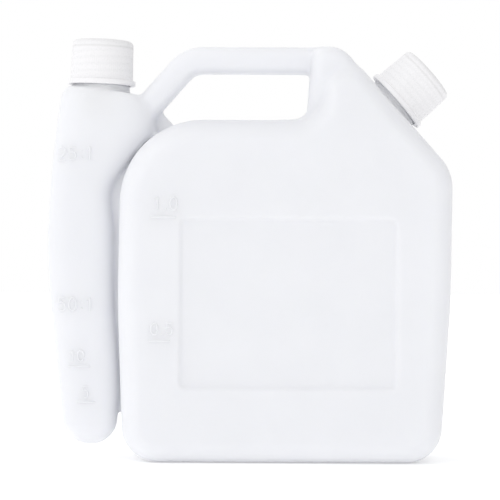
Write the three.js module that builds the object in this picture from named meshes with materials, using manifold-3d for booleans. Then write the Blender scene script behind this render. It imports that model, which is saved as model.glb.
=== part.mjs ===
// A blow-moulded bottle for mixing fuel: a one litre tank, a slim graduated oil tube beside it,
// a carrying handle over both, and a screw cap with a liner on each of the two necks.
// Millimetres. X is the width, Y the depth with the marked face towards -Y, Z is up.
import * as THREE from "three";
import { mergeVertices } from "three/addons/utils/BufferGeometryUtils.js";
import Module from "manifold-3d";

const wasm = await Module();
wasm.setup();

// wall of the blown body and its edges
const WALL = 1.3;
const TANK_DEPTH = 62;
const TANK_EDGE_WIDTH = 10;
const TANK_EDGE_DEPTH = 12;

// tank outline
const TANK_LEFT = -60.9;
const TANK_LEFT_BULGE = 1.4;
const TANK_FOOT_LEFT = -59.5;
const TANK_FOOT_RIGHT = 89.9;
const TANK_RIGHT = 95.4;
const TANK_BELLY_Z = 77;
const TANK_TOP = 161.4;
const TANK_FOOT_RADIUS = 17;
const TANK_TOP_RADIUS = 39.5;
const TANK_RIGHT_RADIUS = 21;

// slanted shoulder that carries the petrol neck
const SHOULDER_SLOPE = 48.6;
const SHOULDER_FOOT_Z = 137.4;
const PEAK_LEFT = 33.3;
const PEAK_RADIUS = 12.3;
const PEAK_CROOK_RADIUS = 13;

// thin post between the hand opening and the slanted shoulder
const POST_DEPTH = 36;
const POST_EDGE = 6;
const POST_LEFT = 26.9;
const POST_LEAN = 2.4;
const POST_TOP_RADIUS = 14;
const OPENING_CORNER_RADIUS = 8.2;

// handle
const HANDLE_TOP = 196.9;
const HANDLE_HEIGHT = 12.4;
const HANDLE_DEPTH = 20;
const HANDLE_EDGE = 4.5;
const HANDLE_SLOPE = 48.6;
const HANDLE_BEND_X = -29.3;
const HANDLE_BEND_RADIUS = 15;

// oil tube
const TUBE_FOOT = 6.6;
const TUBE_FOOT_LEFT = -86.4;
const TUBE_FOOT_RADIUS = 11;
const TUBE_SHOULDER_RADIUS = 8;
const TUBE_SHOULDER_WIDTH = 4.2;
const TUBE_SHOULDER_DEPTH = 0.6;
const TUBE_BELLY_LEFT = -96.8;
const TUBE_BELLY_Z = 102;
const TUBE_TOP_LEFT = -90.2;
const TUBE_TOP = 176.2;
const TUBE_TOP_TILT = 7.4;
const TUBE_DEPTH_FOOT = 19;
const TUBE_DEPTH_MIDDLE = 20.5;
const TUBE_DEPTH_NECK = 29.4;
const TUBE_SQUARENESS = 3.2;
const TUBE_TO_TANK_GAP = 3.1;
const TUBE_SPREAD_Z = 131.5;

// pinched web that joins the tube to the tank
const WEB_THICKNESS = 2.6;
const WEB_FOOT_Z = 22.5;
const WEB_RIB_DEPTH = 11;
const WEB_RIB_WIDTH = 3.4;

// recessed panel on the front
const PANEL_LEFT = -33.4;
const PANEL_RIGHT = 69.5;
const PANEL_FOOT = 34.4;
const PANEL_TOP = 115.2;
const PANEL_CORNER = 3.6;
const PANEL_RECESS = 1.3;

// raised lines of the two scales
const MARK_HEIGHT = 0.4;
const MARK_WIDTH = 1.1;
const TANK_MARKS = [
  { z: 57.4, from: -47.3, length: 10.2 },
  { z: 115.2, from: -46.7, length: 12.1 },
];
const TUBE_MARKS = [
  { z: 27.2, from: -82, length: 8.7 },
  { z: 44.4, from: -86, length: 10.2 },
];

// necks and screw caps, the same closure twice
const NECK_BORE_RADIUS = 11;
const NECK_WALL = 1.9;
const NECK_FOOT_RADIUS = 13.65;
const NECK_FOOT_COVER = 1.6;
const NECK_LIP = 0.5;
const CAP_CLEARANCE = 0.25;
const CAP_SKIRT_WALL_TOP = 0.7;
const CAP_SKIRT_WALL_FOOT = 1.15;
const CAP_TOP_WALL = 1.5;
const CAP_HEIGHT = 21.5;
const CAP_CORNER_RADIUS = 2.3;
const CAP_BEAD_OUT = 1.2;
const CAP_BEAD_HEIGHT = 2.5;
const LINER_THICKNESS = 1.3;
const LINER_CLEARANCE = 0.2;
const LINER_EDGE_CLEARANCE = 0.3;

const OIL_NECK_X = -71.7;
const OIL_NECK_LEAN = 2;
const OIL_CAP_FOOT_Z = 178.6;
const PETROL_NECK_FROM_CORNER = 42.6;
const PETROL_CAP_FOOT_RISE = 2.7;

// fineness of the facets
const ARC_STEP = 9;
const INNER_ARC_STEP = 15;
const EDGE_STEPS = 6;
const INNER_EDGE_STEPS = 4;
const TUBE_STEPS = 13;
const TURNED_SIDES = 48;
const BORE_SIDES = 32;

const radians = THREE.MathUtils.degToRad;
const TANK_HALF = TANK_DEPTH / 2;
const SLOPE_TAN = Math.tan(radians(SHOULDER_SLOPE));

// Height of the slanted shoulder's line above a given x.
function shoulderZ(x) {
  return SHOULDER_FOOT_Z + (TANK_RIGHT - x) * SLOPE_TAN;
}

// Closed outline with rounded corners, anticlockwise in the X-Z plane; a corner is [x, z, radius].
function roundedOutline(corners, arcStep) {
  const points = [];
  const count = corners.length;
  for (let i = 0; i < count; i++) {
    const [x, z, radius] = corners[i];
    const corner = new THREE.Vector2(x, z);
    const before = new THREE.Vector2(...corners[(i + count - 1) % count]).sub(corner).normalize();
    const after = new THREE.Vector2(...corners[(i + 1) % count]).sub(corner).normalize();
    const halfAngle = Math.acos(THREE.MathUtils.clamp(before.dot(after), -1, 1)) / 2;
    const reach = radius / Math.tan(halfAngle);
    const centre = before.clone().add(after).normalize()
      .multiplyScalar(radius / Math.sin(halfAngle)).add(corner);
    const start = before.clone().multiplyScalar(reach).add(corner).sub(centre);
    const turn = (Math.PI - 2 * halfAngle) * Math.sign(after.clone().cross(before));
    const steps = Math.max(1, Math.ceil(Math.abs(turn) / radians(arcStep)));
    for (let k = 0; k <= steps; k++) {
      const angle = (turn * k) / steps;
      points.push(start.clone().rotateAround(new THREE.Vector2(), angle).add(centre));
    }
  }
  return points;
}

function toSolid(geometry) {
  const bare = geometry.clone();
  bare.deleteAttribute("normal");
  bare.deleteAttribute("uv");
  const merged = mergeVertices(bare, 1e-4);
  return new wasm.Manifold(new wasm.Mesh({
    numProp: 3,
    vertProperties: merged.attributes.position.array,
    triVerts: merged.index.array,
  }));
}

function toGeometry(solid) {
  const mesh = solid.getMesh();
  const geometry = new THREE.BufferGeometry();
  geometry.setAttribute("position", new THREE.BufferAttribute(mesh.vertProperties, 3));
  geometry.setIndex(new THREE.BufferAttribute(mesh.triVerts, 1));
  geometry.computeVertexNormals();
  return geometry;
}

// Stands a shape that was extruded along its own z on the X-Z plane, centred on Y = 0.
function standUp(geometry, length) {
  geometry.translate(0, 0, -length / 2);
  geometry.rotateX(Math.PI / 2);
  return geometry;
}

// A moulded form: the outline at the parting plane, rounded over to flat faces at front and back.
// Inset draws the whole form in, which gives the cavity inside a wall of that thickness.
function moulding(corners, form, inset = 0) {
  const inner = inset > 0;
  const arcStep = inner ? INNER_ARC_STEP : ARC_STEP;
  const outline = new THREE.Shape(roundedOutline(corners, arcStep));
  const edgeWidth = form.edgeWidth - inset;
  const edgeDepth = form.edgeDepth - inset;
  const straight = form.depth - 2 * form.edgeDepth;
  const geometry = new THREE.ExtrudeGeometry(outline, {
    depth: straight,
    bevelEnabled: true,
    bevelThickness: edgeDepth,
    bevelSize: edgeWidth,
    bevelOffset: -form.edgeWidth,
    bevelSegments: inner ? INNER_EDGE_STEPS : EDGE_STEPS,
  });
  return standUp(geometry, straight);
}

// A flat plate centred on the parting plane.
function plate(points, thickness) {
  const outline = new THREE.Shape(points.map(([x, z]) => new THREE.Vector2(x, z)));
  const geometry = new THREE.ExtrudeGeometry(outline, { depth: thickness, bevelEnabled: false });
  return standUp(geometry, thickness);
}

function turned(profile, sides) {
  const points = profile.map(([radius, height]) => new THREE.Vector2(radius, height));
  const geometry = new THREE.LatheGeometry(points, sides);
  geometry.rotateX(Math.PI / 2);
  return geometry;
}

// Places of the two necks: the foot of the cap on the neck's axis, and the axis's tilt from upright.
const shoulderAcross = 90 - SHOULDER_SLOPE;
const petrolSeat = new THREE.Vector2(
  TANK_RIGHT - PETROL_NECK_FROM_CORNER * Math.cos(radians(SHOULDER_SLOPE)),
  SHOULDER_FOOT_Z + PETROL_NECK_FROM_CORNER * Math.sin(radians(SHOULDER_SLOPE)),
);
const PETROL_AXIS = {
  tilt: SHOULDER_SLOPE,
  x: petrolSeat.x + PETROL_CAP_FOOT_RISE * Math.cos(radians(shoulderAcross)),
  z: petrolSeat.y + PETROL_CAP_FOOT_RISE * Math.sin(radians(shoulderAcross)),
};
const OIL_AXIS = { tilt: OIL_NECK_LEAN, x: OIL_NECK_X, z: OIL_CAP_FOOT_Z };

function onAxis(geometry, axis) {
  geometry.rotateY(radians(axis.tilt));
  geometry.translate(axis.x, 0, axis.z);
  return geometry;
}

const TANK_FORM = { depth: TANK_DEPTH, edgeWidth: TANK_EDGE_WIDTH, edgeDepth: TANK_EDGE_DEPTH };

function tankCorners() {
  return [
    [TANK_FOOT_LEFT, 0, TANK_FOOT_RADIUS],
    [TANK_FOOT_RIGHT, 0, TANK_FOOT_RADIUS],
    [TANK_RIGHT - 0.7, TANK_BELLY_Z, 260],
    [TANK_RIGHT, SHOULDER_FOOT_Z, TANK_RIGHT_RADIUS],
    [PEAK_LEFT, shoulderZ(PEAK_LEFT), PEAK_RADIUS],
    [PEAK_LEFT, TANK_TOP, PEAK_CROOK_RADIUS],
    [TANK_LEFT, TANK_TOP, TANK_TOP_RADIUS],
    [TANK_LEFT - TANK_LEFT_BULGE, TANK_BELLY_Z, 400],
  ];
}

const POST_FORM = { depth: POST_DEPTH, edgeWidth: POST_EDGE, edgeDepth: POST_EDGE };
const SKIN = 0.2;

// The post's lower part runs on inside the tank, so that both cavities open into each other.
function postCorners() {
  const topX = TANK_RIGHT - (HANDLE_TOP - SHOULDER_FOOT_Z) / SLOPE_TAN + 0.5;
  const landX = TANK_RIGHT - 0.62 * PETROL_NECK_FROM_CORNER;
  const low = TANK_TOP - 2.2 * TANK_EDGE_WIDTH;
  const corner = POST_EDGE + 0.6;
  return [
    [POST_LEFT - 18, low, corner],
    [landX, low, corner],
    [landX - 6, shoulderZ(landX - 6) - 2, corner],
    [topX, HANDLE_TOP, POST_TOP_RADIUS],
    [POST_LEFT + POST_LEAN, HANDLE_TOP, corner],
    [POST_LEFT, TANK_TOP - SKIN, OPENING_CORNER_RADIUS],
    [POST_LEFT - 18, TANK_TOP - SKIN, corner],
  ];
}

// Centre line of the handle, from inside the tube's shoulder to inside the post.
function handlePath(startBack, endX) {
  const level = HANDLE_TOP - HANDLE_HEIGHT / 2;
  const slope = radians(HANDLE_SLOPE);
  const reach = HANDLE_BEND_RADIUS * Math.tan(slope / 2);
  const bend = new THREE.Vector3(HANDLE_BEND_X, 0, level);
  const down = new THREE.Vector3(-Math.cos(slope), 0, -Math.sin(slope));
  const start = bend.clone().addScaledVector(down, startBack);
  const bendStart = bend.clone().addScaledVector(down, reach);
  const bendEnd = bend.clone().add(new THREE.Vector3(reach, 0, 0));
  const path = new THREE.CurvePath();
  path.add(new THREE.LineCurve3(start, bendStart));
  path.add(new THREE.QuadraticBezierCurve3(bendStart, bend, bendEnd));
  path.add(new THREE.LineCurve3(bendEnd, new THREE.Vector3(endX, 0, level)));
  return path;
}

function handleSection(inset) {
  const halfDepth = HANDLE_DEPTH / 2 - inset;
  const halfHeight = HANDLE_HEIGHT / 2 - inset;
  const edge = HANDLE_EDGE - inset;
  return new THREE.Shape(roundedOutline([
    [-halfDepth, -halfHeight, edge],
    [halfDepth, -halfHeight, edge],
    [halfDepth, halfHeight, edge],
    [-halfDepth, halfHeight, edge],
  ], inset > 0 ? 30 : 18));
}

function handle(startBack, endX, inset) {
  return new THREE.ExtrudeGeometry(handleSection(inset), {
    steps: inset > 0 ? 22 : 40,
    extrudePath: handlePath(startBack, endX),
    bevelEnabled: false,
  });
}

const HANDLE_RUN = (HANDLE_TOP - TUBE_TOP + 9) / Math.sin(radians(HANDLE_SLOPE));
const HANDLE_PINCH = 23;

// A size that runs smoothly through the given [z, value] pairs.
function along(pairs, z) {
  const heights = pairs.map((pair) => pair[0]);
  const values = pairs.map((pair) => pair[1]);
  const held = THREE.MathUtils.clamp(z, heights[0], heights[heights.length - 1]);
  return new THREE.CubicInterpolant(heights, values, 1).evaluate(held)[0];
}

// The tube's inner side keeps its distance from the tank's left side and upper left corner.
const TUBE_INNER_SIDE = [
  [TUBE_FOOT, TANK_FOOT_LEFT - TUBE_TO_TANK_GAP - 0.4],
  [TUBE_FOOT + 22, TANK_FOOT_LEFT - TUBE_TO_TANK_GAP],
  [TANK_BELLY_Z, TANK_LEFT - TANK_LEFT_BULGE - TUBE_TO_TANK_GAP + 0.4],
  [TUBE_SPREAD_Z - 22, TANK_LEFT - TANK_LEFT_BULGE - TUBE_TO_TANK_GAP],
  [TUBE_SPREAD_Z, TANK_LEFT - TUBE_TO_TANK_GAP - 1.4],
  [TUBE_SPREAD_Z + 13, TANK_LEFT - TUBE_TO_TANK_GAP + 8],
  [TUBE_SPREAD_Z + 27, TANK_LEFT - TUBE_TO_TANK_GAP + 18],
  [TUBE_SPREAD_Z + 34, TANK_LEFT - TUBE_TO_TANK_GAP + 18],
  [TUBE_TOP, TANK_LEFT - TUBE_TO_TANK_GAP + 14],
];
const TUBE_OUTER_SIDE = [
  [TUBE_FOOT, TUBE_FOOT_LEFT - 1.3],
  [TUBE_BELLY_Z - 58, TUBE_BELLY_LEFT + 4.8],
  [TUBE_BELLY_Z, TUBE_BELLY_LEFT],
  [TUBE_BELLY_Z + 35, TUBE_BELLY_LEFT + 1.8],
  [TUBE_TOP, TUBE_TOP_LEFT],
];
const TUBE_DEPTHS = [
  [TUBE_FOOT, TUBE_DEPTH_FOOT],
  [TUBE_BELLY_Z, TUBE_DEPTH_MIDDLE],
  [TUBE_SPREAD_Z, TUBE_DEPTH_MIDDLE + 1],
  [TUBE_TOP - 10, TUBE_DEPTH_NECK],
  [TUBE_TOP, TUBE_DEPTH_NECK],
];

// Share of the full section that is left at a height, and how far the shoulder has curved in there.
function tubeFullness(z) {
  const low = THREE.MathUtils.clamp((z - TUBE_FOOT) / TUBE_FOOT_RADIUS, 0, 1);
  return Math.sqrt(1 - (1 - low) ** 2);
}

function tubeShoulder(z) {
  const high = THREE.MathUtils.clamp((TUBE_TOP - z) / TUBE_SHOULDER_RADIUS, 0, 1);
  return 1 - Math.sqrt(1 - (1 - high) ** 2);
}

// The shoulder's top slopes down from the outer side towards the handle.
function tubeTopFall(x, z) {
  const blend = THREE.MathUtils.smoothstep(z, TUBE_SPREAD_Z, TUBE_TOP - TUBE_SHOULDER_RADIUS);
  return (x - OIL_NECK_X) * Math.tan(radians(TUBE_TOP_TILT)) * blend;
}

function tubeStations() {
  const stations = [];
  for (const k of [0.5, 1, 2, 3, 4, 5]) {
    stations.push(TUBE_FOOT + TUBE_FOOT_RADIUS * (1 - Math.cos(radians(k * 18))));
  }
  const from = TUBE_FOOT + TUBE_FOOT_RADIUS;
  const to = TUBE_TOP - TUBE_SHOULDER_RADIUS;
  for (let k = 1; k <= TUBE_STEPS; k++) stations.push(from + ((to - from) * k) / TUBE_STEPS);
  for (const k of [1, 2, 3, 4, 5]) {
    stations.push(to + TUBE_SHOULDER_RADIUS * Math.sin(radians(k * 18)));
  }
  return stations;
}

// The oil tube: flattened sections lofted from foot to shoulder. Inset gives its cavity.
function tube(inset = 0) {
  const profile = [[0, TUBE_FOOT], ...tubeStations().map((z) => [tubeFullness(z), z]), [0, TUBE_TOP]];
  const geometry = turned(profile, inset > 0 ? 24 : 32);
  const places = geometry.attributes.position;
  const stretch = (TUBE_TOP - TUBE_FOOT - 2 * inset) / (TUBE_TOP - TUBE_FOOT);
  for (let i = 0; i < places.count; i++) {
    const z = places.getZ(i);
    const curvedIn = tubeShoulder(z);
    const left = along(TUBE_OUTER_SIDE, z) + inset + TUBE_SHOULDER_WIDTH * curvedIn;
    const right = along(TUBE_INNER_SIDE, z) - inset - TUBE_SHOULDER_WIDTH * curvedIn;
    const halfDepth = along(TUBE_DEPTHS, z) / 2 - inset - TUBE_SHOULDER_DEPTH * curvedIn;
    const share = Math.hypot(places.getX(i), places.getY(i));
    const squared = (part) => Math.sign(part) * Math.abs(part) ** (2 / TUBE_SQUARENESS);
    const across = share > 0 ? squared(places.getX(i) / share) : 0;
    const deep = share > 0 ? squared(places.getY(i) / share) : 0;
    const x = (left + right) / 2 + (across * share * (right - left)) / 2;
    places.setX(i, x);
    places.setY(i, deep * share * halfDepth);
    places.setZ(i, TUBE_FOOT + inset + (z - TUBE_FOOT) * stretch - tubeTopFall(x, z));
  }
  return geometry;
}

function webPlate() {
  const tubeSide = TANK_LEFT - TUBE_TO_TANK_GAP - 4;
  const tankSide = TANK_LEFT + 6;
  const top = [-42.4, 165.7];
  return plate([
    [tubeSide, WEB_FOOT_Z],
    [tankSide, WEB_FOOT_Z],
    [tankSide, TUBE_SPREAD_Z],
    [-34, TANK_TOP - 8],
    [-36.6, 159.2],
    top,
    [top[0] - 8, top[1] + 1],
    [tubeSide, TUBE_SPREAD_Z + 6],
  ], WEB_THICKNESS);
}

// A short rib that bridges the web between the tube's shoulder and the tank's corner.
function webRib() {
  const geometry = new THREE.BoxGeometry(12, WEB_RIB_DEPTH, WEB_RIB_WIDTH);
  geometry.rotateY(radians(47));
  geometry.translate(-46.8, 0, 155.6);
  return geometry;
}

// Stamp for the recessed panel; grow widens and deepens it, which carries the recess through the wall.
function panelStamp(grow) {
  const outline = new THREE.Shape(roundedOutline([
    [PANEL_LEFT - grow, PANEL_FOOT - grow, PANEL_CORNER + grow],
    [PANEL_RIGHT + grow, PANEL_FOOT - grow, PANEL_CORNER + grow],
    [PANEL_RIGHT + grow, PANEL_TOP + grow, PANEL_CORNER + grow],
    [PANEL_LEFT - grow, PANEL_TOP + grow, PANEL_CORNER + grow],
  ], 30));
  const geometry = new THREE.ExtrudeGeometry(outline, {
    depth: 6,
    bevelEnabled: true,
    bevelThickness: PANEL_RECESS,
    bevelSize: PANEL_RECESS,
    bevelOffset: -PANEL_RECESS,
    bevelSegments: 2,
  });
  geometry.translate(0, 0, TANK_HALF - grow);
  geometry.rotateX(Math.PI / 2);
  return geometry;
}

// A raised line of a scale: a bar cut to a slightly grown copy of the face that it stands on.
function markBar(mark, grownFace) {
  const geometry = new THREE.BoxGeometry(mark.length, TANK_DEPTH, MARK_WIDTH);
  geometry.translate(mark.from + mark.length / 2, -TANK_HALF, mark.z);
  return toSolid(geometry).intersect(grownFace);
}

// Heights along a closure's axis, from the foot of its cap.
const CAP_CEILING = CAP_HEIGHT - CAP_TOP_WALL;
const LINER_TOP = CAP_CEILING - LINER_CLEARANCE;
const LINER_FOOT = LINER_TOP - LINER_THICKNESS;
const NECK_LAND = LINER_FOOT - LINER_CLEARANCE;
const CAP_BORE_RADIUS = NECK_FOOT_RADIUS + CAP_CLEARANCE;

function neck(depthBelow) {
  const outer = NECK_BORE_RADIUS + NECK_WALL;
  return turned([
    [0, -depthBelow],
    [NECK_FOOT_RADIUS, -depthBelow],
    [NECK_FOOT_RADIUS, NECK_FOOT_COVER],
    [outer, NECK_FOOT_COVER + 0.8],
    [outer, NECK_LAND - NECK_LIP],
    [outer - NECK_LIP, NECK_LAND],
    [0, NECK_LAND],
  ], TURNED_SIDES);
}

function neckBore(depthBelow) {
  return turned([
    [0, -depthBelow],
    [NECK_BORE_RADIUS, -depthBelow],
    [NECK_BORE_RADIUS, NECK_LAND + 1],
    [0, NECK_LAND + 1],
  ], BORE_SIDES);
}

function cap() {
  const top = CAP_BORE_RADIUS + CAP_SKIRT_WALL_TOP;
  const foot = CAP_BORE_RADIUS + CAP_SKIRT_WALL_FOOT;
  const bead = foot + CAP_BEAD_OUT;
  const corner = [0, 30, 60, 90].map((degrees) => [
    top - CAP_CORNER_RADIUS + CAP_CORNER_RADIUS * Math.cos(radians(degrees)),
    CAP_HEIGHT - CAP_CORNER_RADIUS + CAP_CORNER_RADIUS * Math.sin(radians(degrees)),
  ]);
  return turned([
    [0, CAP_CEILING],
    [CAP_BORE_RADIUS - 0.6, CAP_CEILING],
    [CAP_BORE_RADIUS, CAP_CEILING - 0.6],
    [CAP_BORE_RADIUS, 0.4],
    [CAP_BORE_RADIUS + 0.3, 0],
    [bead - 0.4, 0],
    [bead, 0.4],
    [bead, CAP_BEAD_HEIGHT - 0.5],
    [bead - 0.5, CAP_BEAD_HEIGHT],
    [foot, CAP_BEAD_HEIGHT],
    ...corner,
    [0, CAP_HEIGHT],
  ], TURNED_SIDES);
}

function liner() {
  const radius = CAP_BORE_RADIUS - LINER_EDGE_CLEARANCE - 0.4;
  return turned([
    [0, LINER_FOOT],
    [radius, LINER_FOOT],
    [radius, LINER_TOP],
    [0, LINER_TOP],
  ], TURNED_SIDES);
}

function bottleSkin() {
  let skin = toSolid(moulding(tankCorners(), TANK_FORM));
  skin = skin.add(toSolid(moulding(postCorners(), POST_FORM)));
  skin = skin.add(toSolid(tube()));
  skin = skin.add(toSolid(handle(HANDLE_RUN, POST_LEFT + 8, 0)));
  skin = skin.add(toSolid(webPlate())).add(toSolid(webRib()));
  skin = skin.add(toSolid(onAxis(neck(8), PETROL_AXIS)));
  skin = skin.add(toSolid(onAxis(neck(11), OIL_AXIS)));
  skin = skin.subtract(toSolid(panelStamp(0)));
  const grownTank = toSolid(moulding(tankCorners(), TANK_FORM, -MARK_HEIGHT));
  const grownTube = toSolid(tube(-MARK_HEIGHT));
  for (const mark of TANK_MARKS) skin = skin.add(markBar(mark, grownTank));
  for (const mark of TUBE_MARKS) skin = skin.add(markBar(mark, grownTube));
  return skin;
}

function bottleCavity() {
  let tank = toSolid(moulding(tankCorners(), TANK_FORM, WALL));
  tank = tank.subtract(toSolid(panelStamp(WALL)));
  tank = tank.add(toSolid(moulding(postCorners(), POST_FORM, WALL)));
  tank = tank.add(toSolid(handle(HANDLE_RUN - HANDLE_PINCH, POST_LEFT + 8, WALL)));
  tank = tank.add(toSolid(onAxis(neckBore(10), PETROL_AXIS)));
  const oil = toSolid(tube(WALL)).add(toSolid(onAxis(neckBore(12), OIL_AXIS)));
  return tank.add(oil);
}

function solids() {
  return {
    bottle_body: toGeometry(bottleSkin().subtract(bottleCavity())),
    petrol_cap: onAxis(cap(), PETROL_AXIS),
    petrol_cap_liner: onAxis(liner(), PETROL_AXIS),
    oil_cap: onAxis(cap(), OIL_AXIS),
    oil_cap_liner: onAxis(liner(), OIL_AXIS),
  };
}

const LOOKS = {
  bottle_body: { color: 0xf1f2f6, roughness: 0.45 },
  petrol_cap: { color: 0xe9eaea, roughness: 0.35 },
  petrol_cap_liner: { color: 0xf6f6f4, roughness: 0.8 },
  oil_cap: { color: 0xe9eaea, roughness: 0.35 },
  oil_cap_liner: { color: 0xf6f6f4, roughness: 0.8 },
};

// The whole bottle stands on Z = 0 with the middle of its width at X = 0.
function assemble() {
  const shapes = solids();
  const box = new THREE.Box3();
  for (const geometry of Object.values(shapes)) {
    geometry.computeBoundingBox();
    box.union(geometry.boundingBox);
  }
  const group = new THREE.Group();
  group.name = "fuel_mixing_bottle";
  for (const [name, geometry] of Object.entries(shapes)) {
    geometry.translate(-(box.min.x + box.max.x) / 2, 0, -box.min.z);
    const mesh = new THREE.Mesh(geometry, new THREE.MeshStandardMaterial(LOOKS[name]));
    mesh.name = name;
    group.add(mesh);
  }
  return group;
}

export default assemble();
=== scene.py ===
"""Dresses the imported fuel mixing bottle: one smooth blown body, two ribbed screw caps with their
threads and liners, moulded scale numbers, milky plastics, and a pale studio."""
import math

import bpy
import numpy as np
from mathutils import Matrix, Vector
from mathutils.bvhtree import BVHTree


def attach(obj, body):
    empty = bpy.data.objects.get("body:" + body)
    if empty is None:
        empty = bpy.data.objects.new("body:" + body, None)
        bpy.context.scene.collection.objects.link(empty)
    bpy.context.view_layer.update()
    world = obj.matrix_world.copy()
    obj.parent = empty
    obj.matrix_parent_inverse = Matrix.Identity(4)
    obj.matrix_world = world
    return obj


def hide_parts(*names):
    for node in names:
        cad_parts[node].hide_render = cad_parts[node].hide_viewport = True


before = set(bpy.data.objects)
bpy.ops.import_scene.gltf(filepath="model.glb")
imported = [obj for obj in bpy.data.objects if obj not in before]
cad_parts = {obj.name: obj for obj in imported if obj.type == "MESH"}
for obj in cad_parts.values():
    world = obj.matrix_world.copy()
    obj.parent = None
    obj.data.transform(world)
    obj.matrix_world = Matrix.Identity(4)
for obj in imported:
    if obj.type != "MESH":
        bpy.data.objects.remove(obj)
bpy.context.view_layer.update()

MM = 0.001
SHIFT_X = 0.722
CELL = 0.8
SKIN_TRIANGLES = 150000

# sizes in millimetres, the same as the solids have
TANK_HALF = 31.0
TANK_EDGE_WIDTH = 10.0
TANK_EDGE_DEPTH = 12.0
TANK_RIGHT = 95.4
SHOULDER_FOOT_Z = 137.4
SHOULDER_SLOPE = math.radians(48.6)
SLOPE_TAN = math.tan(SHOULDER_SLOPE)
TANK_TOP = 161.4
PEAK_LEFT = 33.3
HANDLE_TOP = 196.9
HANDLE_HEIGHT = 12.4
HANDLE_BEND = (-29.3, 190.7)
TUBE_FOOT = 6.6
TUBE_TOP = 176.2
TUBE_TILT = math.tan(math.radians(7.4))
NECK_RADIUS = 12.9
NECK_FOOT_RADIUS = 13.65
NECK_BORE = 11.0
NECK_LAND = 18.3
CAP_BORE = 13.9
CAP_HEIGHT = 21.5
PITCH = 3.2
RIBS = 90
RIB_DEPTH = 0.11
STROKE_WIDTH = 0.95
STROKE_HEIGHT = 0.3
PETROL_AXIS = (69.9758 - SHIFT_X, 171.1403, 48.6)
OIL_AXIS = (-71.7, 178.6, 2.0)
COLLAR_DEPTHS = ((PETROL_AXIS, 8), (OIL_AXIS, 11))
BORE_DEPTH = 14
PANEL = (-33.4, 34.4, 69.5, 115.2)
PANEL_CORNER = 3.6
PANEL_RECESS = 1.3
POST_HALF = 18.0
HANDLE_HALF = 10.0
WEB_HALF = 1.3

# the studio, in metres but for the floor's height and half width
FLOOR_Z = -0.05
FLOOR_HALF = 4000
KEY_PLACE = (-0.75, -1.0, 1.15)
BOTTLE_MIDDLE_Z = 0.1
CAMERA_DISTANCE = 1.07
CAMERA_Z = 0.10003
CAMERA_ROLL = 0.3


def shoulder_z(x):
    return SHOULDER_FOOT_Z + (TANK_RIGHT - x) * SLOPE_TAN


def rounded(corners, step=3.0):
    """Points of an outline with rounded corners, anticlockwise; a corner is (x, z, radius)."""
    points = []
    count = len(corners)
    for i, (x, z, radius) in enumerate(corners):
        corner = np.array([x, z], float)
        before = np.array(corners[i - 1][:2], float) - corner
        after = np.array(corners[(i + 1) % count][:2], float) - corner
        before /= np.linalg.norm(before)
        after /= np.linalg.norm(after)
        half = math.acos(float(np.clip(before @ after, -1, 1))) / 2
        bisector = before + after
        centre = corner + bisector / np.linalg.norm(bisector) * radius / math.sin(half)
        start = corner + before * radius / math.tan(half) - centre
        cross = after[0] * before[1] - after[1] * before[0]
        turn = (math.pi - 2 * half) * math.copysign(1, cross)
        steps = max(1, math.ceil(abs(turn) / math.radians(step)))
        for k in range(steps + 1):
            a = turn * k / steps
            c, s = math.cos(a), math.sin(a)
            points.append(centre + [c * start[0] - s * start[1], s * start[0] + c * start[1]])
    return np.array(points)


def outline_distance(points, x, z):
    """Signed distance of grid points to a closed outline, negative inside."""
    best = np.full(x.shape, 1e9)
    inside = np.zeros(x.shape, bool)
    for a, b in zip(points, np.roll(points, -1, axis=0)):
        edge = b - a
        length = float(edge @ edge)
        if length < 1e-12:
            continue
        t = np.clip(((x - a[0]) * edge[0] + (z - a[1]) * edge[1]) / length, 0, 1)
        best = np.minimum(best, (x - a[0] - t * edge[0]) ** 2 + (z - a[1] - t * edge[1]) ** 2)
        crosses = (a[1] > z) != (b[1] > z)
        if abs(edge[1]) > 1e-12:
            inside ^= crosses & (x < a[0] + (z - a[1]) / edge[1] * edge[0])
    return np.where(inside, -np.sqrt(best), np.sqrt(best))


def smooth_union(a, b, radius):
    h = np.clip(0.5 + 0.5 * (b - a) / radius, 0, 1)
    return b + (a - b) * h - radius * h * (1 - h)


def smoothstep(v, low, high):
    t = np.clip((v - low) / (high - low), 0, 1)
    return t * t * (3 - 2 * t)


def pillow(outline, y, half, width, depth):
    """A moulded form: its outline at the parting plane, rounded over to a flat face each side."""
    u = np.clip(1 + outline / width, 0, None)
    v = np.clip((np.abs(y) - (half - depth)) / depth, 0, None)
    r = np.sqrt(u * u + v * v)
    scale = np.sqrt((u * width) ** 2 + (v * depth) ** 2) / np.maximum(r, 1e-6)
    return np.where(r > 1e-6, (r - 1) * scale, -np.minimum(width, depth))


def curve_through(pairs, z):
    """A smooth curve through (z, value) pairs."""
    zs = np.array([p[0] for p in pairs], float)
    vs = np.array([p[1] for p in pairs], float)
    slopes = np.gradient(vs, zs)
    z = np.clip(z, zs[0], zs[-1])
    i = np.clip(np.searchsorted(zs, z) - 1, 0, len(zs) - 2)
    step = zs[i + 1] - zs[i]
    t = (z - zs[i]) / step
    return (
        (2 * t**3 - 3 * t**2 + 1) * vs[i]
        + (t**3 - 2 * t**2 + t) * step * slopes[i]
        + (-2 * t**3 + 3 * t**2) * vs[i + 1]
        + (t**3 - t**2) * step * slopes[i + 1]
    )


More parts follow.
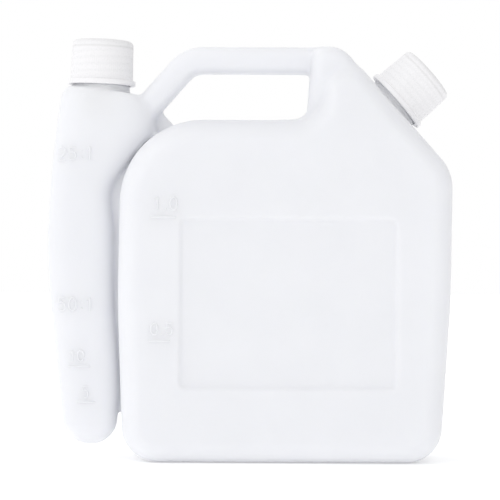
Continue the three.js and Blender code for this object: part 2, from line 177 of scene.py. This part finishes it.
TANK = rounded([
    (-59.5, 0, 17), (89.9, 0, 17), (94.7, 77, 260), (TANK_RIGHT, SHOULDER_FOOT_Z, 21),
    (PEAK_LEFT, shoulder_z(PEAK_LEFT), 12.3), (PEAK_LEFT, TANK_TOP, 13),
    (-60.9, TANK_TOP, 39.5), (-62.3, 77, 400),
])
POST_TOP_X = TANK_RIGHT - (HANDLE_TOP - SHOULDER_FOOT_Z) / SLOPE_TAN + 0.5
POST = rounded([
    (8.9, 139.4, 6.6), (69, 139.4, 6.6), (63, shoulder_z(63) - 2, 6.6),
    (POST_TOP_X, HANDLE_TOP, 14), (29.3, HANDLE_TOP, 6.6), (26.9, TANK_TOP - 0.2, 8.2),
    (8.9, TANK_TOP - 0.2, 6.6),
])
WEB = np.array([
    (-68, 22.5), (-54.9, 22.5), (-54.9, 131.5), (-34, 153.4), (-36.6, 159.2), (-42.4, 165.7),
    (-50.4, 166.7), (-68, 137.5),
])
INNER_SIDE = [
    (6.6, -64.4), (28.6, -62.6), (77, -65.0), (109.5, -65.4), (131.5, -65.4), (144.5, -56),
    (158.5, -46), (165.5, -46), (176.2, -50),
]
OUTER_SIDE = [(6.6, -87.7), (44, -92), (102, -96.8), (137, -95), (176.2, -90.2)]
TUBE_DEPTHS = [(6.6, 19), (102, 20.5), (131.5, 21.5), (166.2, 29.4), (176.2, 29.4)]


def handle_band():
    """Outline of the handle from inside the tube's shoulder to inside the post."""
    level = HANDLE_BEND[1]
    down = np.array([-math.cos(SHOULDER_SLOPE), -math.sin(SHOULDER_SLOPE)])
    bend = np.array(HANDLE_BEND)
    reach = 15 * math.tan(SHOULDER_SLOPE / 2)
    start, p0, p2 = bend + down * 38, bend + down * reach, bend + [reach, 0]
    line = [start]
    for t in np.linspace(0, 1, 13):
        line.append((1 - t) ** 2 * p0 + 2 * t * (1 - t) * bend + t * t * p2)
    line.append(np.array([37.0, level]))
    line = np.array(line)
    along = np.gradient(line, axis=0)
    along /= np.linalg.norm(along, axis=1)[:, None]
    across = np.stack([-along[:, 1], along[:, 0]], axis=1) * HANDLE_HEIGHT / 2
    return np.concatenate([line - across, (line + across)[::-1]])


def on_axis(axis, x, y, z):
    """Height along a neck's axis above its cap's foot, and distance from the axis."""
    ax, az, tilt = axis
    s, c = math.sin(math.radians(tilt)), math.cos(math.radians(tilt))
    height = (x - ax) * s + (z - az) * c
    side = (x - ax) * c - (z - az) * s
    return height, np.sqrt(side * side + y * y)


def tube_field(x, y, z):
    fall = (x - OIL_AXIS[0]) * TUBE_TILT * smoothstep(z, 131.5, 168.2)
    z = z + fall
    low = np.clip((z - TUBE_FOOT) / 11, 0, 1)
    high = np.clip((TUBE_TOP - z) / 8, 0, 1)
    full = np.sqrt(np.clip(1 - (1 - low) ** 2, 1e-4, 1))
    curved = 1 - np.sqrt(np.clip(1 - (1 - high) ** 2, 0, 1))
    left = curve_through(OUTER_SIDE, z) + 4.2 * curved
    right = curve_through(INNER_SIDE, z) - 4.2 * curved
    half = (right - left) / 2 * full
    deep = (curve_through(TUBE_DEPTHS, z) / 2 - 0.6 * curved) * full
    rho = ((np.abs(x - (left + right) / 2) / half) ** 3.2 + (np.abs(y) / deep) ** 3.2) ** (1 / 3.2)
    side = (rho - 1) * np.minimum(half, deep)
    ends = np.maximum(z - TUBE_TOP, TUBE_FOOT - z)
    return -smooth_union(-side, -ends, 1.0)


def body_field(x2, z2, x, y, z):
    """Signed distance to the bottle's outside; x2 and z2 are the flat grid, x, y, z broadcast."""
    tank_line = outline_distance(TANK, x2, z2)[:, None, :]
    taper = smoothstep(z, 150, 199)
    tank = pillow(tank_line, y, TANK_HALF - 12.5 * taper, TANK_EDGE_WIDTH - 3 * taper,
                  TANK_EDGE_DEPTH - 3.5 * taper)
    left, low, right, high = PANEL
    corners = [(left, low), (right, low), (right, high), (left, high)]
    panel = outline_distance(rounded([(*at, PANEL_CORNER) for at in corners]), x2, z2)
    recess = PANEL_RECESS * smoothstep(-panel, 0.1, 1.9)[:, None, :]
    tank = np.where(y < 0, np.maximum(tank, -(y + TANK_HALF) + recess), tank)
    post = pillow(outline_distance(POST, x2, z2)[:, None, :], y, POST_HALF, 6.0, 6.0)
    body = smooth_union(tank, post, 3.0)
    band = outline_distance(handle_band(), x2, z2)[:, None, :]
    handle = pillow(band, y, HANDLE_HALF, 4.5, 4.5)
    body = smooth_union(body, handle, 2.4)
    tube = tube_field(x, y, z)
    tube = smooth_union(tube, handle, 2.4)
    body = np.minimum(body, tube)
    web = np.maximum(outline_distance(WEB, x2, z2)[:, None, :], np.abs(y) - WEB_HALF)
    rib_x, rib_z = x + 46.8, z - 155.6
    c, s = math.cos(math.radians(47)), math.sin(math.radians(47))
    along, across = rib_x * c - rib_z * s, rib_x * s + rib_z * c
    rib = np.maximum(np.maximum(np.abs(along) - 6, np.abs(across) - 1.7), np.abs(y) - 5.5)
    body = smooth_union(body, smooth_union(web, rib, 1.0), 1.8)
    for axis, depth in COLLAR_DEPTHS:
        height, off = on_axis(axis, x, y, z)
        collar = np.maximum(off - NECK_FOOT_RADIUS, np.maximum(height - 1.2, -height - depth))
        body = smooth_union(body, collar, 1.2)
        bore = np.maximum(off - (NECK_BORE + 0.05), -height - BORE_DEPTH)
        body = np.maximum(body, -bore)
    return body


def axes_of_grid(cell):
    xs = np.arange(-99.0, 98.0, cell)
    ys = np.arange(-33.0 - cell / 3, 33.5, cell)
    zs = np.arange(-2.0 - cell / 3, 202.0, cell)
    return xs, ys, zs


CORNERS = np.array([(i, j, k) for i in (0, 1) for j in (0, 1) for k in (0, 1)])
EDGES = [(a, b) for a in range(8) for b in range(a + 1, 8)
         if np.abs(CORNERS[a] - CORNERS[b]).sum() == 1]


def surface(field, xs, ys, zs, cell):
    """Points and four-sided faces of a field's zero surface, one point a crossed cell."""
    inside = field < 0
    count = sum(inside[i:i + len(xs) - 1, j:j + len(ys) - 1, k:k + len(zs) - 1].astype(np.int8)
                for i, j, k in CORNERS)
    cells = np.argwhere((count > 0) & (count < 8))
    values = np.stack([field[tuple((cells + c).T)] for c in CORNERS], axis=1)
    total = np.zeros((len(cells), 3))
    hits = np.zeros(len(cells))
    for a, b in EDGES:
        va, vb = values[:, a], values[:, b]
        cut = (va < 0) != (vb < 0)
        t = np.where(cut, va / np.where(cut, va - vb, 1), 0)[:, None]
        total += np.where(cut[:, None], CORNERS[a] + t * (CORNERS[b] - CORNERS[a]), 0)
        hits += cut
    points = (cells + total / hits[:, None]) * cell + [xs[0], ys[0], zs[0]]
    number = np.full(count.shape, -1, np.int64)
    number[tuple(cells.T)] = np.arange(len(cells))
    faces = []
    for axis in range(3):
        step = np.eye(3, dtype=int)[axis]
        low = tuple(slice(0, -1) if axis == i else slice(None) for i in range(3))
        high = tuple(slice(1, None) if axis == i else slice(None) for i in range(3))
        crossed = np.argwhere(inside[low] != inside[high])
        u, v = [i for i in range(3) if i != axis]
        keep = (crossed[:, u] > 0) & (crossed[:, v] > 0)
        keep &= (crossed[:, u] < field.shape[u] - 1) & (crossed[:, v] < field.shape[v] - 1)
        crossed = crossed[keep]
        du, dv = np.eye(3, dtype=int)[u], np.eye(3, dtype=int)[v]
        quad = np.stack([number[tuple((crossed + d).T)] for d in (-du - dv, -dv, 0 * step, -du)], 1)
        out = inside[tuple(crossed.T)]
        flip = out if axis != 1 else ~out
        faces.append(np.where(flip[:, None], quad, quad[:, ::-1]))
    return points, np.concatenate(faces)


def mesh_object(name, points, faces, smooth=True):
    """A mesh object from points in millimetres of the solids' own frame and faces."""
    mesh = bpy.data.meshes.new(name)
    points = (np.asarray(points, float) + [SHIFT_X, 0, 0]) * MM
    faces = np.asarray(faces)
    mesh.vertices.add(len(points))
    mesh.vertices.foreach_set("co", points.ravel())
    sides = faces.shape[1]
    mesh.loops.add(faces.size)
    mesh.loops.foreach_set("vertex_index", faces.ravel().astype(np.int32))
    mesh.polygons.add(len(faces))
    mesh.polygons.foreach_set("loop_start", np.arange(0, faces.size, sides, dtype=np.int32))
    mesh.update(calc_edges=True)
    mesh.validate()
    mesh.polygons.foreach_set("use_smooth", np.full(len(mesh.polygons), smooth))
    obj = bpy.data.objects.new(name, mesh)
    bpy.context.collection.objects.link(obj)
    return obj


def apply_modifiers(obj):
    depsgraph = bpy.context.evaluated_depsgraph_get()
    depsgraph.update()
    done = bpy.data.meshes.new_from_object(obj.evaluated_get(depsgraph))
    obj.modifiers.clear()
    obj.data = done


def blown_body():
    xs, ys, zs = axes_of_grid(CELL)
    x2, z2 = np.meshgrid(xs, zs, indexing="ij")
    x, y, z = xs[:, None, None], ys[None, :, None], zs[None, None, :]
    field = body_field(x2, z2, x, y, z)
    points, faces = surface(field, xs, ys, zs, CELL)
    obj = mesh_object("bottle_skin", points, faces)
    smooth = obj.modifiers.new("even", "CORRECTIVE_SMOOTH")
    smooth.iterations = 3
    smooth.use_only_smooth = True
    thin = obj.modifiers.new("thin", "DECIMATE")
    thin.ratio = min(1.0, SKIN_TRIANGLES / (2 * len(faces)))
    apply_modifiers(obj)
    return obj


def lathe(profile, sides, radius_of=None):
    """Rings of a turned form; profile is (radius, height). Gives points and four-sided faces."""
    points, faces = [], []
    for k in range(sides):
        a = 2 * math.pi * k / sides
        for r, h in profile:
            out = r if radius_of is None else radius_of(r, h, a)
            points.append((out * math.cos(a), out * math.sin(a), h))
    n = len(profile)
    for k in range(sides):
        nxt = (k + 1) % sides
        for i in range(n - 1):
            faces.append((k * n + i, nxt * n + i, nxt * n + i + 1, k * n + i + 1))
    return np.array(points), np.array(faces)


def placed(points, axis):
    """Points from an axis's own frame, z along it, into the solids' frame."""
    ax, az, tilt = axis
    s, c = math.sin(math.radians(tilt)), math.cos(math.radians(tilt))
    x = points[:, 0] * c + points[:, 2] * s + ax
    z = -points[:, 0] * s + points[:, 2] * c + az
    return np.stack([x, points[:, 1], z], axis=1)


def helix_ridge(radius, out, foot, turns, phase=0.0, per_turn=96):
    """A thread: a rounded ridge wound on a cylinder, fading at both ends; out < 0 is inwards."""
    count = int(turns * per_turn)
    section = [(-0.95, 0.0), (-0.55, 0.72), (-0.2, 1.0), (0.2, 1.0), (0.55, 0.72), (0.95, 0.0)]
    points, faces = [], []
    for k in range(count + 1):
        a = phase + 2 * math.pi * k / per_turn
        h = foot + PITCH * k / per_turn
        fade = min(1.0, k / 14, (count - k) / 14)
        for across, high in section:
            r = radius + out * high * max(fade, 0.02) - math.copysign(0.05, out)
            points.append((r * math.cos(a), r * math.sin(a), h + across * 0.8))
    n = len(section)
    for k in range(count):
        for i in range(n - 1):
            quad = (k * n + i, (k + 1) * n + i, (k + 1) * n + i + 1, k * n + i + 1)
            faces.append(quad if out > 0 else quad[::-1])
        quad = (k * n + n - 1, (k + 1) * n + n - 1, (k + 1) * n, k * n)
        faces.append(quad if out > 0 else quad[::-1])
    return np.array(points), np.array(faces)


def arc(cx, cz, r, start, end, steps):
    return [(cx + r * math.cos(math.radians(a)), cz + r * math.sin(math.radians(a)))
            for a in np.linspace(start, end, steps)]


def combine(parts):
    points, faces, base = [], [], 0
    for p, f in parts:
        points.append(p)
        faces.append(f + base)
        base += len(p)
    return np.concatenate(points), np.concatenate(faces)


def neck_parts(axis, below):
    """A neck's outside, lip and bore, with its thread."""
    profile = [
        (NECK_FOOT_RADIUS - 0.5, -below), (NECK_FOOT_RADIUS, -below + 1), (NECK_FOOT_RADIUS, 1.3),
        *arc(NECK_FOOT_RADIUS - 0.35, 1.3, 0.35, 0, 90, 4), (NECK_RADIUS + 0.12, 1.68),
        (NECK_RADIUS, 1.85), (NECK_RADIUS, NECK_LAND - 0.6),
        *arc(NECK_RADIUS - 0.6, NECK_LAND - 0.6, 0.6, 0, 90, 6),
        *arc(NECK_BORE + 0.5, NECK_LAND - 0.5, 0.5, 90, 180, 6), (NECK_BORE, -BORE_DEPTH),
    ]
    body = lathe(profile, 128)
    thread = helix_ridge(NECK_RADIUS, 0.55, 3.6, 3.9)
    return [(placed(p, axis), f) for p, f in (body, thread)]


def cap_object(name, axis):
    """A ribbed screw cap with its foot bead, its inside and its thread."""
    top, foot = CAP_BORE + 0.7, CAP_BORE + 1.15
    bead = foot + 1.2
    outside = [
        *arc(bead - 0.5, 0.5, 0.5, -90, 0, 5), *arc(bead - 0.55, 1.95, 0.55, 0, 90, 6),
        (foot + 0.12, 2.5), (foot, 2.62),
    ]
    heights = np.linspace(3.1, CAP_HEIGHT - 2.3, 20)
    outside += [(foot + (top - foot) * (h - 2.5) / (CAP_HEIGHT - 4.8), h) for h in heights]
    outside += arc(top - 2.3, CAP_HEIGHT - 2.3, 2.3, 8, 90, 11)
    outside += [(9.0, CAP_HEIGHT), (5.0, CAP_HEIGHT), (0.02, CAP_HEIGHT)]
    ceiling = CAP_HEIGHT - 1.5
    inside = [
        (0.02, ceiling), (12.0, ceiling), (CAP_BORE - 0.6, ceiling),
        (CAP_BORE - 0.2, ceiling - 0.2), (CAP_BORE, ceiling - 0.6), (CAP_BORE, 0.5),
        *arc(CAP_BORE + 0.35, 0.35, 0.35, 180, 270, 4),
    ]

    def ribbed(r, h, a):
        if r < top - 0.4 or not 2.6 < h < CAP_HEIGHT - 1.2:
            return r
        fade = min(1.0, (h - 2.6) / 0.8, (CAP_HEIGHT - 1.2 - h) / 1.4)
        return r - RIB_DEPTH * fade * (0.5 + 0.5 * math.cos(RIBS * a)) ** 2

    body = lathe(outside, 360, ribbed)
    hollow = lathe(inside, 120)
    rim = lathe([(CAP_BORE + 0.35, 0.0), (bead - 0.5, 0.0)], 120)
    thread = helix_ridge(CAP_BORE, -0.38, 2.6, 4.2, phase=math.pi)
    parts = [(placed(p, axis), f) for p, f in (body, hollow, rim, thread)]
    points, faces = combine(parts)
    return mesh_object(name, points, faces)


def liner_object(name, axis):
    ceiling = CAP_HEIGHT - 1.5
    top, foot = ceiling - 0.2, ceiling - 1.5
    r = CAP_BORE - 0.72
    profile = [(0.02, foot + 0.02), (6, foot), (NECK_BORE - 0.6, foot),
               (NECK_BORE + 0.2, foot + 0.14), (NECK_RADIUS - 0.3, foot + 0.14),
               *arc(r - 0.25, foot + 0.25, 0.25, -80, 0, 4),
               *arc(r - 0.25, top - 0.25, 0.25, 0, 90, 4), (6, top), (0.02, top)]
    points, faces = lathe(profile, 120)
    return mesh_object(name, placed(points, axis), faces)


def ring(cx, cz, rx, rz, start=0, end=360, steps=20):
    return [(cx + rx * math.cos(math.radians(a)), cz + rz * math.sin(math.radians(a)))
            for a in np.linspace(start, end, steps)]


# strokes of plain numbers on a field 1 wide and 1.6 high
STROKES = {
    "0": [ring(0.5, 0.8, 0.44, 0.78)],
    "1": [[(0.2, 1.25), (0.55, 1.58), (0.55, 0.0)]],
    "2": [ring(0.5, 1.13, 0.42, 0.44, 165, -35, 12) + [(0.06, 0.02), (0.95, 0.02)]],
    "5": [[(0.88, 1.57), (0.2, 1.57), (0.12, 0.88)] + ring(0.47, 0.53, 0.44, 0.52, 125, -150, 16)],
    ".": [[(0.5, 0.0), (0.5, 0.2)]],
    ":": [[(0.5, 0.25), (0.5, 0.45)], [(0.5, 1.0), (0.5, 1.2)]],
}


def numerals(text, x, z, height, spacing=1.28):
    """Strokes of a number whose lower left corner is at x, z."""
    scale = height / 1.6
    lines, at = [], 0.0
    for sign in text:
        point = sign in ".:"
        for stroke in STROKES[sign]:
            pts = np.array(stroke, float) - [0.2 if point else 0, 0]
            lines.append((pts + [at, 0]) * scale + [x, z])
        at += (0.6 if point else 1.0) * spacing
    return lines


def resampled(line, step=0.35):
    gaps = np.linalg.norm(np.diff(line, axis=0), axis=1)
    total = np.concatenate([[0], np.cumsum(gaps)])
    count = max(2, int(total[-1] / step) + 1)
    at = np.linspace(0, total[-1], count)
    return np.stack([np.interp(at, total, line[:, 0]), np.interp(at, total, line[:, 1])], axis=1)


def raised_stroke(tree, line, width, height):
    """A low rounded ridge along a line on the front, laid on the surface below it."""
    line = resampled(line)
    along = np.gradient(line, axis=0)
    along /= np.maximum(np.linalg.norm(along, axis=1)[:, None], 1e-9)
    across = np.stack([-along[:, 1], along[:, 0]], axis=1)
    profile = [(-1.0, -0.25), (-0.82, 0.25), (-0.45, 0.8), (0.0, 1.0), (0.45, 0.8),
               (0.82, 0.25), (1.0, -0.25)]
    points, faces = [], []
    for k, (p, n) in enumerate(zip(line, across)):
        end = 0.72 if k in (0, len(line) - 1) and len(line) > 4 else 1.0
        for side, high in profile:
            q = p + n * side * width / 2 * end
            start = Vector(((q[0] + SHIFT_X) * MM, -0.1, q[1] * MM))
            skin, normal = tree.ray_cast(start, Vector((0, 1, 0)))[:2]
            if skin is None:
                return None
            rise = high * height * (0.45 if end < 1 and high > 0 else 1)
            spot = skin + normal * rise * MM
            points.append((spot.x / MM - SHIFT_X, spot.y / MM, spot.z / MM))
    n = len(profile)
    for k in range(len(line) - 1):
        for i in range(n - 1):
            faces.append((k * n + i, (k + 1) * n + i, (k + 1) * n + i + 1, k * n + i + 1))
    return np.array(points), np.array(faces)


def scale_parts(tree):
    """The raised lines and numbers of the two scales."""
    lines = [(np.array([(-47.3, 57.4), (-37.1, 57.4)]), 1.2, 0.34),
             (np.array([(-46.7, 115.2), (-34.6, 115.2)]), 1.2, 0.34),
             (np.array([(-82, 27.2), (-73.3, 27.2)]), 1.05, 0.32),
             (np.array([(-86, 44.4), (-75.8, 44.4)]), 1.05, 0.32)]
    words = [("1.0", -45.3, 118.6, 6.0), ("0.5", -46.3, 60.2, 5.6),
             ("5", -79.6, 29.4, 5.2), ("10", -86.0, 46.8, 5.2), ("50:1", -91.4, 70.6, 6.4),
             ("25:1", -91.6, 142.2, 6.4)]
    for text, x, z, height in words:
        lines += [(stroke, STROKE_WIDTH, STROKE_HEIGHT) for stroke in numerals(text, x, z, height)]
    made = [raised_stroke(tree, line, width, height) for line, width, height in lines]
    return [part for part in made if part is not None]


# materials
def node(tree, kind, inputs=None, **values):
    """A new shader node; an input given as a socket is linked, any other is set."""
    made = tree.nodes.new(kind)
    for key, value in values.items():
        setattr(made, key, value)
    for key, value in (inputs or {}).items():
        if isinstance(value, bpy.types.NodeSocket):
            tree.links.new(value, made.inputs[key])
        else:
            made.inputs[key].default_value = value
    return made


def maths(tree, operation, *inputs):
    return node(tree, "ShaderNodeMath", dict(enumerate(inputs)), operation=operation).outputs[0]


def map_range(tree, value, start, end, kind="SMOOTHSTEP"):
    """value carried from the range start to the range end."""
    inputs = {"Value": value, "From Min": start[0], "From Max": start[1],
              "To Min": end[0], "To Max": end[1]}
    return node(tree, "ShaderNodeMapRange", inputs, interpolation_type=kind).outputs["Result"]


def colour_ramp(tree, value, stops, interpolation="LINEAR"):
    """value turned into a colour; stops are (position, grey or colour), in rising order."""
    made = node(tree, "ShaderNodeValToRGB", {"Fac": value})
    ramp = made.color_ramp
    ramp.interpolation = interpolation
    first, *middle, last = [(at, c if isinstance(c, tuple) else (c, c, c)) for at, c in stops]
    for element, (at, colour) in ((ramp.elements[0], first), (ramp.elements[1], last)):
        element.position = at
        element.color = (*colour, 1)
    for at, colour in middle:
        ramp.elements.new(at).color = (*colour, 1)
    return made.outputs["Color"]


def plastic(name, colour, shade, roughness, subsurface, radius, grain, seam=False, painted_shade_rings=None):
    """Milky moulded plastic: faint cloudiness, fine grain, and where asked a parting seam or
    painted shade in rings where the thread shows through."""
    material = bpy.data.materials.new(name)
    material.use_nodes = True
    tree = material.node_tree
    shader = tree.nodes["Principled BSDF"]
    for key, value in (("IOR", 1.52), ("Subsurface Weight", subsurface),
                       ("Subsurface Radius", (1.0, 1.0, 1.05)), ("Subsurface Scale", radius)):
        shader.inputs[key].default_value = value
    place = node(tree, "ShaderNodeTexCoord").outputs["Object"]
    cloud, fine = (
        node(tree, "ShaderNodeTexNoise", {"Vector": place, "Scale": scale, "Detail": detail})
        .outputs["Fac"] for scale, detail in ((38, 3), (grain, 4)))
    base = colour_ramp(tree, cloud, [(0.3, shade), (0.7, colour)])
    rough = map_range(tree, fine, (0.3, 0.7), (roughness - 0.06, roughness + 0.07), "LINEAR")
    grainy = {"Height": fine, "Strength": 0.12, "Distance": 0.0004}
    normal = node(tree, "ShaderNodeBump", grainy).outputs["Normal"]
    if seam:
        split = node(tree, "ShaderNodeSeparateXYZ", {"Vector": place})
        off = maths(tree, "ABSOLUTE", split.outputs["Y"])
        line = {"Height": map_range(tree, off, (0.00012, 0.0005), (1, 0)), "Strength": 0.8,
                "Distance": 0.0002, "Normal": normal}
        normal = node(tree, "ShaderNodeBump", line).outputs["Normal"]
    # painted shade of the thread and the liner's edge, put into the cap's colour
    if painted_shade_rings:
        base = painted_ring_shade(tree, place, base, painted_shade_rings)
    for key, socket in (("Base Color", base), ("Roughness", rough), ("Normal", normal)):
        tree.links.new(socket, shader.inputs[key])
    return material


def mixed(tree, amount, base, colour):
    inputs = {"Factor": amount, "A": base, "B": (*colour, 1)}
    return node(tree, "ShaderNodeMix", inputs, data_type="RGBA").outputs["Result"]


def painted_ring_shade(tree, place, base, axis):
    """Paints shade into a cap's colour: soft dark rings at the thread's pitch where the thread
    shows through, and a darker band at the liner's edge and over the top.
    """
    ax, az, tilt = axis
    s, c = math.sin(math.radians(tilt)), math.cos(math.radians(tilt))

    def vector(operation, value, other):
        return node(tree, "ShaderNodeVectorMath", {0: value, 1: other}, operation=operation)

    spot = vector("SUBTRACT", place, ((ax + SHIFT_X) * MM, 0, az * MM)).outputs["Vector"]
    height = vector("DOT_PRODUCT", spot, (s, 0, c)).outputs["Value"]
    across = vector("DOT_PRODUCT", spot, (c, 0, -s)).outputs["Value"]
    split = node(tree, "ShaderNodeSeparateXYZ", {"Vector": spot})
    turn = maths(tree, "ARCTAN2", split.outputs["Y"], across)
    back = maths(tree, "MULTIPLY", turn, -1)
    wave = maths(tree, "SINE",
                 maths(tree, "MULTIPLY_ADD", height, 2 * math.pi / (PITCH * MM), back))
    share = maths(tree, "DIVIDE", height, CAP_HEIGHT * MM)
    ends = colour_ramp(tree, share, [(0.14, 0), (0.24, 1), (0.72, 1), (0.8, 0)], "EASE")
    amount = maths(tree, "MULTIPLY", map_range(tree, wave, (-0.2, 0.9), (0, 1)), ends)
    # painted shade: dark rings where the thread inside shows through the wall
    painted_shade_rings = mixed(tree, maths(tree, "MULTIPLY", amount, 0.12), base, (0.68, 0.69, 0.7))
    # painted shade: a darker band at the liner's edge, and darker again over the cap's top
    painted_band_shade = colour_ramp(tree, share, [(0.8, 0), (0.845, 0.45), (0.88, 0.08), (0.97, 0.25)], "EASE")
    return mixed(tree, painted_band_shade, painted_shade_rings, (0.66, 0.66, 0.66))


def dressed(obj, material, body, slot_name, *replaced):
    obj.data.materials.clear()
    obj.data.materials.append(material)
    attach(obj, body)
    if replaced:
        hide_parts(*replaced)
    return obj


def build():
    skin = blown_body()
    bpy.context.view_layer.update()
    tree = BVHTree.FromPolygons([v.co for v in skin.data.vertices],
                                [tuple(p.vertices) for p in skin.data.polygons])
    necks = mesh_object("threaded_necks",
                        *combine(neck_parts(PETROL_AXIS, 4) + neck_parts(OIL_AXIS, 4)))
    marks = mesh_object("scale_marks", *combine(scale_parts(tree)))
    pale, deep = (0.835, 0.842, 0.872), (0.82, 0.827, 0.857)
    milk = plastic("natural_polyethylene", pale, deep, 0.4, 0.45, 0.008, 900, seam=True)
    ridge = plastic("polyethylene_marks", pale, deep, 0.4, 0.0, 0.001, 900)
    foam = plastic("foam_liner", (0.9, 0.9, 0.89), (0.84, 0.84, 0.83), 0.75, 0.1, 0.001, 2500)
    dressed(skin, milk, "bottle", "natural_polyethylene", "bottle_body")
    dressed(marks, ridge, "bottle", "natural_polyethylene")
    dressed(necks, ridge, "bottle", "natural_polyethylene")
    for word, axis in (("petrol", PETROL_AXIS), ("oil", OIL_AXIS)):
        # each cap gets painted shade rings around its own axis
        clear = plastic(f"{word}_cap_polypropylene", (0.88, 0.875, 0.89), (0.86, 0.855, 0.87), 0.3,
                        0.0, 0.001, 1200, painted_shade_rings=axis)
        cap = cap_object(f"{word}_cap_ribbed", axis)
        dressed(cap, clear, f"{word}_screw_cap", "natural_polypropylene", f"{word}_cap")
        disc = liner_object(f"{word}_liner_disc", axis)
        dressed(disc, foam, f"{word}_liner", "foam_liner", f"{word}_cap_liner")


def soft_room(tree):
    """White all round, a little brighter from the left and weaker from the right."""
    place = node(tree, "ShaderNodeTexCoord").outputs["Generated"]
    across = node(tree, "ShaderNodeSeparateXYZ", {"Vector": place}).outputs["X"]
    right = map_range(tree, across, (0.14, 0.8), (1.0, 0.66))
    left = map_range(tree, across, (-0.14, -0.8), (1.0, 1.06))
    back = tree.nodes["Background"]
    back.inputs["Color"].default_value = (1, 1, 1, 1)
    tree.links.new(maths(tree, "MULTIPLY", right, left), back.inputs["Strength"])


def studio():
    corners = [(x, y, FLOOR_Z) for x, y in ((-1, -1), (1, -1), (1, 1), (-1, 1))]
    floor = mesh_object("floor", np.array(corners) * (FLOOR_HALF, FLOOR_HALF, 1), [(0, 1, 2, 3)],
                        smooth=False)
    paper = bpy.data.materials.new("floor_paper")
    paper.use_nodes = True
    shader = paper.node_tree.nodes["Principled BSDF"]
    for key, value in (("Base Color", (0.97, 0.97, 0.97, 1)), ("Roughness", 0.9),
                       ("Specular IOR Level", 0.1), ("Emission Color", (1, 1, 1, 1)),
                       ("Emission Strength", 0.2)):
        shader.inputs[key].default_value = value
    floor.data.materials.append(paper)
    world = bpy.data.worlds.new("studio")
    world.use_nodes = True
    soft_room(world.node_tree)
    scene = bpy.context.scene
    scene.world = world
    scene.view_settings.view_transform = "Standard"
    light = bpy.data.lights.new("key", "AREA")
    light.shape = "DISK"
    light.size = 0.8
    light.energy = 1.5
    lamp = bpy.data.objects.new("key", light)
    lamp.location = KEY_PLACE
    aim = Vector((0, 0, BOTTLE_MIDDLE_Z)) - lamp.location
    lamp.rotation_euler = aim.to_track_quat("-Z", "Y").to_euler()
    bpy.context.collection.objects.link(lamp)


def camera():
    lens = bpy.data.cameras.new("camera")
    lens.lens = 160.5
    lens.sensor_width = 36
    lens.clip_start = 0.05
    lens.clip_end = 50
    eye = bpy.data.objects.new("camera", lens)
    bpy.context.collection.objects.link(eye)
    place = Matrix.Translation((SHIFT_X * MM, -CAMERA_DISTANCE, CAMERA_Z))
    level = Matrix.Rotation(math.radians(90), 4, "X")
    roll = Matrix.Rotation(math.radians(CAMERA_ROLL), 4, "Z")
    eye.matrix_world = place @ level @ roll
    bpy.context.scene.camera = eye


build()
studio()
camera()
